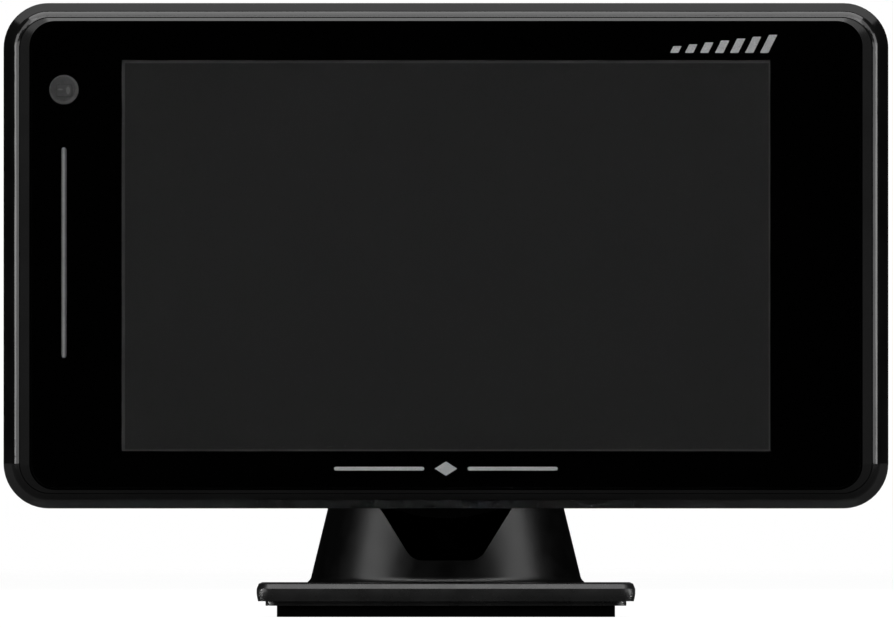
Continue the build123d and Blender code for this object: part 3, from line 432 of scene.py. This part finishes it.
# The display's own edge shows as a slightly lighter line in the print's window, widest at its left and top
SCREEN_W, SCREEN_H = 86.4 * MM, 52.1 * MM
SCREEN_CORNER = 0.05 * MM
EDGE_WIDE, EDGE_FINE = 0.42 * MM, 0.20 * MM
lens_middle = middle_of("cover_lens")
screen_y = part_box("lcd_panel")[0].y
edge = bmesh.new()
add_plate(
    edge,
    oblong(lens_middle.x, lens_middle.z, SCREEN_W, SCREEN_H, SCREEN_CORNER),
    screen_y - 0.03 * MM,
    screen_y - 0.01 * MM,
    hole=oblong(
        lens_middle.x + (EDGE_WIDE - EDGE_FINE) / 2,
        lens_middle.z - (EDGE_WIDE - EDGE_FINE) / 2,
        SCREEN_W - EDGE_WIDE - EDGE_FINE,
        SCREEN_H - EDGE_WIDE - EDGE_FINE,
        SCREEN_CORNER,
    ),
)
edge_film = moulded("screen_edge", 0.070, 0.5, grain=0.1 * MM, depth=0.001 * MM, Specular_IOR_Level=0.1)
ride_with("screen_edge", edge, "head", edge_film)

# A black line hides the cover lens's cut edge, as print, and the joint round it, as painted shade
EDGE_LINE_W = 0.16 * MM
LENS_ROUND = 3.4 * MM
JOINT_W = 0.05 * MM
LINE_STEPS = 12
lens_low, lens_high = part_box("cover_lens")
lens_w, lens_h = lens_high.x - lens_low.x, lens_high.z - lens_low.z
seam = bmesh.new()
add_plate(
    seam,
    oblong(
        lens_middle.x,
        lens_middle.z,
        lens_w + 2 * JOINT_W,
        lens_h + 2 * JOINT_W,
        LENS_ROUND + JOINT_W,
        LINE_STEPS,
    ),
    lens_low.y - 0.030 * MM,
    lens_low.y - 0.005 * MM,
    hole=oblong(
        lens_middle.x,
        lens_middle.z,
        lens_w - 2 * EDGE_LINE_W,
        lens_h - 2 * EDGE_LINE_W,
        LENS_ROUND - EDGE_LINE_W,
        LINE_STEPS,
    ),
)
ride_with("lens_edge_line", seam, "head", FINISHES["black_ink"])

# In the light sensor's window: a rim, thicker at its lower right as a painted highlight, the chip's outline
# and two painted glints
window = middle_of("sensor_window")
print_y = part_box("border_print")[0].y
FACE_NEAR, FACE_FAR = print_y - 0.022 * MM, print_y - 0.008 * MM
rim = bmesh.new()
add_plate(
    rim,
    oval(window.x, window.z, 1.92 * MM, 1.92 * MM),
    FACE_NEAR,
    FACE_FAR,
    hole=oval(window.x - 0.10 * MM, window.z + 0.10 * MM, 1.66 * MM, 1.66 * MM),
)
# the rim's extra width at its lower right is a painted highlight
rim_grey = frosted_diffuser("sensor_rim_grey", 0.112, 0.0)
ride_with("sensor_rim", rim, "head", rim_grey)

die = bmesh.new()
add_plate(
    die,
    oblong(window.x + 0.05 * MM, window.z - 0.15 * MM, 2.2 * MM, 1.75 * MM, 0.35 * MM),
    FACE_NEAR,
    FACE_FAR,
    hole=oblong(window.x + 0.01 * MM, window.z - 0.11 * MM, 2.02 * MM, 1.57 * MM, 0.28 * MM),
)
die_grey = frosted_diffuser("sensor_die_grey", 0.035, 0.0)
ride_with("sensor_die_outline", die, "head", die_grey)

# each painted glint: its place in the window and its half sizes, in mm
PAINTED_GLINTS = ((-0.52, 0.03, 0.34, 0.13), (0.55, -0.10, 0.26, 0.52))
glints = bmesh.new()
for glint_x, glint_z, half_w, half_h in PAINTED_GLINTS:
    glint = oval(window.x + glint_x * MM, window.z + glint_z * MM, half_w * MM, half_h * MM)
    add_plate(glints, glint, FACE_NEAR, FACE_FAR)
# the glints are painted highlights: flat ovals of light grey
painted_glint_grey = frosted_diffuser("sensor_painted_glint_grey", 0.150, 0.0)
ride_with("sensor_glints", glints, "head", painted_glint_grey)

# Rear label: a plain border, plain lines where print would be, and a block of even stripes
label = middle_of("label_plate")
label_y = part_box("label_plate")[1].y
LABEL_W, LABEL_H = 25.6 * MM, 15.6 * MM
BORDER_W = 0.25 * MM
INK_T = 0.02 * MM
ink = bmesh.new()
add_plate(
    ink,
    oblong(label.x, label.z, LABEL_W, LABEL_H, 0.8 * MM),
    label_y,
    label_y + INK_T,
    hole=oblong(label.x, label.z, LABEL_W - 2 * BORDER_W, LABEL_H - 2 * BORDER_W, 0.6 * MM),
)
# lengths, the first line's height above the label's middle, and the lines' spacing, in mm
LINE_LENGTHS = (11.5, 9.0, 10.5, 7.0)
FIRST_LINE, LINE_PITCH = 4.6, 2.6
LINE_MARGIN = 1.8 * MM
for row, length in enumerate(LINE_LENGTHS):
    # seen from behind, the label's left is at its larger X
    line_x = label.x + LABEL_W / 2 - LINE_MARGIN - length * MM / 2
    line_z = label.z + (FIRST_LINE - LINE_PITCH * row) * MM
    line = oblong(line_x, line_z, length * MM, 0.8 * MM, 0.3 * MM)
    add_plate(ink, line, label_y, label_y + INK_T)
# the first stripe's distance from the label's edge, and the stripes' spacing, in mm
STRIPES = 9
FIRST_STRIPE, STRIPE_PITCH = 2.2, 0.8
for index in range(STRIPES):
    stripe_x = label.x - LABEL_W / 2 + (FIRST_STRIPE + STRIPE_PITCH * index) * MM
    stripe = oblong(stripe_x, label.z, 0.4 * MM, 9.0 * MM, 0.05 * MM)
    add_plate(ink, stripe, label_y, label_y + INK_T)
ride_with("label_print", ink, "head", FINISHES["black_ink"])

# Woven wire cloth behind the speaker's holes
CLOTH_R = 11.6 * MM
WIRE_PITCH = 0.62 * MM
WIRE_R = 0.09 * MM
FLATTENED = 0.6
WAVE = 0.5
speaker = middle_of("speaker_gasket")
cloth_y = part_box("speaker_gasket")[1].y + 0.14 * MM
cloth = bmesh.new()
wires = int(CLOTH_R / WIRE_PITCH)
for along_x in (True, False):
    for wire in range(-wires, wires + 1):
        offset = wire * WIRE_PITCH
        reach = math.sqrt(CLOTH_R**2 - offset**2)
        knots = max(2, int(2 * reach / WIRE_PITCH) + 1)
        rings = []
        for knot in range(knots):
            travel = -reach + 2 * reach * knot / (knots - 1)
            over = (knot + wire + along_x) % 2
            lift = (1 if over else -1) * WIRE_R * FLATTENED
            ring = []
            for corner in range(4):
                turn = math.radians(45 + 90 * corner)
                across, out = WIRE_R * math.cos(turn), WIRE_R * math.sin(turn) * FLATTENED
                flat = (travel, offset + across) if along_x else (offset + across, travel)
                place = (speaker.x + flat[0], cloth_y + lift * WAVE + out, speaker.z + flat[1])
                ring.append(cloth.verts.new(place))
            rings.append(ring)
        for first, second in zip(rings, rings[1:]):
            for corner in range(4):
                after = (corner + 1) % 4
                cloth.faces.new((first[corner], first[after], second[after], second[corner]))
bmesh.ops.recalc_face_normals(cloth, faces=cloth.faces)
cloth_wire = metal("cloth_wire", shade(0.10), 0.4)
ride_with("grille_cloth", cloth, "head", cloth_wire)

# ---------------------------------------------------------------- stage, lights and camera

FLOOR_REACH = 3.2
FLOOR_FADE_START = 1.4
FLOOR_FADE_END = 3.0
FLOOR_GLOW = 0.97
# For the lights the floor is dark, or it would show as a grey band all round the glossy rim
FLOOR_DARK, FLOOR_LIGHT = 0.048, 0.053


def pale_floor():
    """A matt pale floor that fades into the background. Its glow is for the camera only."""
    finish = Finish("pale_floor", Specular_IOR_Level=0.0)
    finish.colour(finish.noise(0.4), shade(FLOOR_DARK), shade(FLOOR_LIGHT))
    finish.roughness(finish.noise(0.05), 0.9, 0.97)
    nodes, links = finish.nodes, finish.links
    rays = nodes.new("ShaderNodeLightPath")
    glow = nodes.new("ShaderNodeMath")
    glow.operation = "MULTIPLY"
    glow.inputs[1].default_value = FLOOR_GLOW
    links.new(rays.outputs["Is Camera Ray"], glow.inputs[0])
    finish.shader.inputs["Emission Color"].default_value = (1, 1, 1, 1)
    links.new(glow.outputs["Value"], finish.shader.inputs["Emission Strength"])
    distance = nodes.new("ShaderNodeVectorMath")
    distance.operation = "LENGTH"
    links.new(finish.position, distance.inputs[0])
    fade = nodes.new("ShaderNodeMapRange")
    fade.interpolation_type = "SMOOTHSTEP"
    fade.inputs["From Min"].default_value = FLOOR_FADE_START
    fade.inputs["From Max"].default_value = FLOOR_FADE_END
    fade.inputs["To Min"].default_value = 1.0
    fade.inputs["To Max"].default_value = 0.0
    links.new(distance.outputs["Value"], fade.inputs["Value"])
    links.new(fade.outputs["Result"], finish.shader.inputs["Alpha"])
    return finish.material


floor_mesh = bpy.data.meshes.new("floor")
floor_mesh.from_pydata(
    [(x * FLOOR_REACH, y * FLOOR_REACH, 0) for x, y in ((-1, -1), (1, -1), (1, 1), (-1, 1))],
    [],
    [(0, 1, 2, 3)],
)
floor = bpy.data.objects.new("floor", floor_mesh)
scene.collection.objects.link(floor)
floor.data.materials.append(pale_floor())

# The point that every light is turned towards, inside the head
MIDDLE = Vector((0.0, -0.04, 0.045))


def towards(azimuth, elevation, distance):
    """A place seen from the middle: azimuth 0 is in front, 90 on the viewer's right, and 180 behind."""
    turn, rise = math.radians(azimuth), math.radians(elevation)
    level = distance * math.cos(rise)
    return MIDDLE + Vector((level * math.sin(turn), -level * math.cos(turn), distance * math.sin(rise)))


def light_group(name, node_names, state):
    """A light's group of nodes: it lights only them, or all but them."""
    group = bpy.data.collections.new(name)
    for node_name in node_names:
        group.objects.link(frame["nodes"][node_name])
    for member in group.collection_objects:
        member.light_linking.link_state = state
    return group


# The cone hangs in the head's shade, so it has lights to itself, and the other lights pass it by
cone_alone = light_group("cone_alone", ["stand_cone"], "INCLUDE")
all_but_cone = light_group("all_but_cone", ["stand_cone"], "EXCLUDE")
# A pale floor's gleams, on the rim's underside and the foot plate's ends, come from lights low down.
# The bezel's group also serves the light that carries the sides' bright band round its top corners.
bezel_alone = light_group("bezel_alone", ["front_bezel"], "INCLUDE")
foot_alone = light_group("foot_alone", ["foot_plate"], "INCLUDE")
# What is seen from the front is lit from the front: a light behind would leave a hard gleam on its edges
FRONT_NODES = ["stand_cone", "foot_plate", "front_bezel", "cover_lens"]
all_but_front = light_group("all_but_front", FRONT_NODES, "EXCLUDE")


def softbox(name, place, width, height, radiance, lit, shading=None):
    """A rectangular light of even brightness, turned towards the middle. The camera can't see it.

    It lights the group called lit. Its shadows come from the group called shading, or else from everything.
    """
    light = bpy.data.lights.new(name, "AREA")
    light.shape = "RECTANGLE"
    light.size = width
    light.size_y = height
    light.energy = radiance * width * height * math.pi
    box = bpy.data.objects.new(name, light)
    box.location = place
    box.rotation_euler = (MIDDLE - place).to_track_quat("-Z", "Y").to_euler()
    box.visible_camera = False
    box.light_linking.receiver_collection = lit
    box.light_linking.blocker_collection = shading
    # a light that passes through other pieces is sampled from its own side only, or their shapes show in it
    light.cycles.use_multiple_importance_sampling = shading is None
    scene.collection.objects.link(box)


softbox("overhead", towards(0, 86, 0.95), 1.4, 0.95, 3.1, all_but_cone)
softbox("front_top", towards(0, 46, 1.05), 1.2, 0.45, 3.6, all_but_cone)
softbox("front_low", towards(0, 26, 1.10), 1.2, 0.36, 1.2, all_but_cone)
softbox("rear_top", towards(180, 42, 1.0), 1.3, 0.55, 0.30, all_but_cone)
softbox("rear_wide", towards(180, 24, 1.1), 1.5, 0.60, 3.0, all_but_front)
softbox("floor_bounce", towards(180, -42, 0.9), 0.60, 0.50, 0.045, bezel_alone, bezel_alone)
softbox("cone_top", towards(0, 80, 1.0), 1.0, 0.40, 2.0, cone_alone, cone_alone)
for side, side_name in ((-1, "left"), (1, "right")):
    softbox(f"{side_name}_wide", towards(side * 58, 3.5, 1.02), 0.78, 0.21, 2.6, all_but_cone)
    softbox(f"{side_name}_core", towards(side * 74, 3.5, 0.98), 0.36, 0.21, 3.3, all_but_cone)
    softbox(f"{side_name}_front", towards(side * 24, 3, 1.10), 0.30, 0.50, 0.17, all_but_cone)
    softbox(f"{side_name}_bend", towards(side * 69, 17, 1.0), 0.48, 0.27, 2.8, bezel_alone)
    softbox(f"{side_name}_corner", towards(side * 52, 38, 1.05), 0.50, 0.50, 1.8, all_but_cone)
    softbox(f"{side_name}_foot", towards(side * 88, -8, 0.9), 0.44, 0.32, 3.0, foot_alone, foot_alone)
    softbox(f"{side_name}_cone", towards(side * 71, 36, 0.9), 0.48, 1.05, 2.1, cone_alone, cone_alone)

# The camera sees a white background, which lights the object hardly at all
BACKGROUND_LIGHT = 0.002
world = bpy.data.worlds.new("studio")
scene.world = world
world.use_nodes = True
tree = world.node_tree
background = tree.nodes["Background"]
rays = tree.nodes.new("ShaderNodeLightPath")
sky = tree.nodes.new("ShaderNodeMix")
sky.data_type = "RGBA"
sky.inputs["A"].default_value = (*shade(BACKGROUND_LIGHT), 1)
sky.inputs["B"].default_value = (1.0, 1.0, 1.0, 1)
tree.links.new(rays.outputs["Is Camera Ray"], sky.inputs["Factor"])
tree.links.new(sky.outputs["Result"], background.inputs["Color"])

scene.view_settings.view_transform = "Standard"

# A long lens, low and far away and a little tipped up, so that the foot plate's top is seen edge-on
FRONT_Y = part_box("cover_lens")[0].y
CAMERA_AWAY = 3.6
CAMERA_X = 0.14 * MM
CAMERA_Z = 15.0 * MM
AIM_Z = 40.4 * MM
FRAME_W = 119.08 * MM
SENSOR_W = 36.0
camera_data = bpy.data.cameras.new("camera")
camera_data.sensor_width = SENSOR_W
camera_data.lens = SENSOR_W * CAMERA_AWAY / FRAME_W
camera = bpy.data.objects.new("camera", camera_data)
camera.location = (CAMERA_X, FRONT_Y - CAMERA_AWAY, CAMERA_Z)
look = Vector((CAMERA_X, FRONT_Y, AIM_Z)) - camera.location
camera.rotation_euler = look.to_track_quat("-Z", "Y").to_euler()
scene.collection.objects.link(camera)
scene.camera = camera
